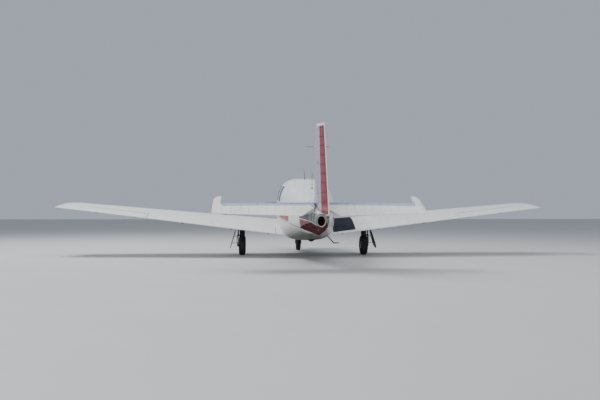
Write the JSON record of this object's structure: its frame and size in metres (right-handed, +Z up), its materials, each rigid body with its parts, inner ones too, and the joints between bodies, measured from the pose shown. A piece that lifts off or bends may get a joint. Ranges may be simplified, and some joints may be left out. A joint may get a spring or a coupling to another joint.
{
  "type": "single-engine light aircraft",
  "caption": "Low-wing light aircraft with an upright fin, retractable tricycle gear on rubber shock discs, hinged control surfaces, doors, steering and a propeller.",
  "frame": {"origin": "middle of the parked aircraft's length and span, on the ground", "axes": "+X to starboard, +Y to the nose, +Z up; the parked aircraft sits 3.5 degrees nose up"},
  "size_m": [11, 7.4624, 2.5006],
  "materials": {
    "white_paint": "gloss white paint on thin sheet",
    "lavender_paint": "pale lavender-white paint on thin sheet",
    "red_paint": "faded red paint on thin sheet",
    "slate_paint": "slate blue paint on thin sheet",
    "steel": "plain steel",
    "aluminium": "bare aluminium",
    "dark_metal": "dark satin paint",
    "engine_iron": "dull dark castings",
    "rubber": "black rubber",
    "tyre": "black tyre rubber",
    "glass": "clear, faintly blue",
    "seat_fabric": "woven grey-blue cloth",
    "dark_plastic": "matt black"
  },
  "bodies": {
    "airframe": {"belly_dome": "dark_plastic", "boarding_step": "dark_metal", "cabin_shell": "white_paint", "cowl_lower": "white_paint", "cowl_upper": "white_paint", "engine_block": "engine_iron", "exhaust_pipe": "steel", "instrument_panel": "dark_plastic", "main_gear_door_left": "white_paint", "main_gear_door_right": "white_paint", "main_leg_left": "dark_metal", "main_leg_right": "dark_metal", "nose_gear_door_left": "white_paint", "nose_gear_door_right": "white_paint", "nose_leg_support": "steel", "roof_aerial": "dark_metal", "seat_frame_left": "steel", "seat_frame_right": "steel", "seat_front_left": "seat_fabric", "seat_front_right": "seat_fabric", "seat_rear": "seat_fabric", "shock_discs_left": "rubber", "shock_discs_right": "rubber", "tail_cone": "white_paint", "tail_cone_aerial": "dark_metal", "window_front_left": "glass", "window_rear_left": "glass", "window_rear_right": "glass", "windscreen_left": "glass", "windscreen_right": "glass", "wing_left": "white_paint", "wing_right": "white_paint", "wing_root_left": "white_paint", "wing_root_right": "white_paint"},
    "propeller": {"propeller": "aluminium", "spinner": "white_paint"},
    "cabin_door": {"cabin_door": "white_paint", "door_window": "glass"},
    "baggage_door": {"baggage_door": "white_paint"},
    "nose_fork": {"nose_fork": "dark_metal"},
    "nose_wheel": {"nose_wheel": "aluminium", "nose_tyre": "tyre"},
    "rudder": {"rudder": "red_paint"},
    "elevators": {"elevator_left": "white_paint", "elevator_right": "white_paint"},
    "tail_unit": {"tail_fairing": "lavender_paint", "fin": "lavender_paint", "nav_aerial": "steel", "stabilizer_left": "slate_paint", "stabilizer_right": "slate_paint"},
    "cowl_flap_left": {"cowl_flap_left": "white_paint"},
    "flap_left": {"flap_left": "white_paint"},
    "aileron_left": {"aileron_left": "white_paint"},
    "main_wheel_left": {"main_wheel_left": "aluminium", "main_tyre_left": "tyre"},
    "cowl_flap_right": {"cowl_flap_right": "white_paint"},
    "flap_right": {"flap_right": "white_paint"},
    "aileron_right": {"aileron_right": "white_paint"},
    "main_wheel_right": {"main_wheel_right": "aluminium", "main_tyre_right": "tyre"}
  },
  "joints": [
    {"name": "propeller_turn", "type": "hinge", "parent": "airframe", "child": "propeller", "pos_m": [0, 3.41447, 1.19019], "axis": [0, 0.9981, 0.061], "continuous": true},
    {"name": "main_wheel_left_roll", "type": "hinge", "parent": "airframe", "child": "main_wheel_left", "pos_m": [-1.39, 0.63138, 0.222], "axis": [-1, 0, 0], "continuous": true},
    {"name": "main_wheel_right_roll", "type": "hinge", "parent": "airframe", "child": "main_wheel_right", "pos_m": [1.39, 0.63138, 0.222], "axis": [1, 0, 0], "continuous": true},
    {"name": "nose_steer", "type": "hinge", "parent": "airframe", "child": "nose_fork", "pos_m": [0, 2.48425, 0.23162], "axis": [0, -0.061, 0.9981], "range_deg": [-14, 14]},
    {"name": "nose_wheel_roll", "type": "hinge", "parent": "nose_fork", "child": "nose_wheel", "pos_m": [0, 2.45735, 0.18], "axis": [1, 0, 0], "continuous": true},
    {"name": "cabin_door_swing", "type": "hinge", "parent": "airframe", "child": "cabin_door", "pos_m": [0.59305, 1.38418, 0.96082], "axis": [0, -0.061, 0.9981], "range_deg": [0, 80]},
    {"name": "baggage_door_lift", "type": "hinge", "parent": "airframe", "child": "baggage_door", "pos_m": [0.51656, -0.49947, 1.34805], "axis": [-0.1194, -0.991, -0.0606], "range_deg": [0, 100]},
    {"name": "aileron_left_turn", "type": "hinge", "parent": "airframe", "child": "aileron_left", "pos_m": [-4.95, 0.54702, 1.00966], "axis": [0.9812, -0.1556, -0.1143], "range_deg": [-10, 10]},
    {"name": "aileron_right_turn", "type": "hinge", "parent": "airframe", "child": "aileron_right", "pos_m": [3.5, 0.31704, 0.84072], "axis": [0.9812, 0.1556, 0.1143], "range_deg": [-10, 10]},
    {"name": "flap_left_turn", "type": "hinge", "parent": "airframe", "child": "flap_left", "pos_m": [-3.45, 0.35481, 0.82357], "axis": [0.9808, -0.1553, -0.1178], "range_deg": [0, 33]},
    {"name": "flap_right_turn", "type": "hinge", "parent": "airframe", "child": "flap_right", "pos_m": [0.65, -0.08843, 0.48725], "axis": [0.9808, 0.1553, 0.1178], "range_deg": [0, 33]},
    {"name": "cowl_flap_left_turn", "type": "hinge", "parent": "airframe", "child": "cowl_flap_left", "pos_m": [-0.345, 2.49856, 0.68562], "axis": [0.9618, 0.0167, -0.2734], "range_deg": [0, 25]},
    {"name": "cowl_flap_right_turn", "type": "hinge", "parent": "airframe", "child": "cowl_flap_right", "pos_m": [0.205, 2.501, 0.64582], "axis": [0.9618, -0.0167, 0.2734], "range_deg": [0, 25]},
    {"name": "tail_trim", "type": "hinge", "parent": "airframe", "child": "tail_unit", "pos_m": [-0.1, -2.46583, 0.90067], "axis": [1, 0, 0], "range_deg": [-3, 3]},
    {"name": "rudder_turn", "type": "hinge", "parent": "tail_unit", "child": "rudder", "pos_m": [0, -3.29916, 0.92985], "axis": [0, 0.1813, 0.9834], "range_deg": [-37.5, 10.5]},
    {"name": "elevator_turn", "type": "hinge", "parent": "tail_unit", "child": "elevators", "pos_m": [0, -3.08757, 1.07404], "axis": [1, 0, 0], "range_deg": [-43, 0]}
  ],
  "couplings": [
    {"joint": "aileron_left_turn", "follows": "aileron_right_turn", "ratio": -1},
    {"joint": "flap_left_turn", "follows": "flap_right_turn", "ratio": 1},
    {"joint": "cowl_flap_left_turn", "follows": "cowl_flap_right_turn", "ratio": 1}
  ]
}
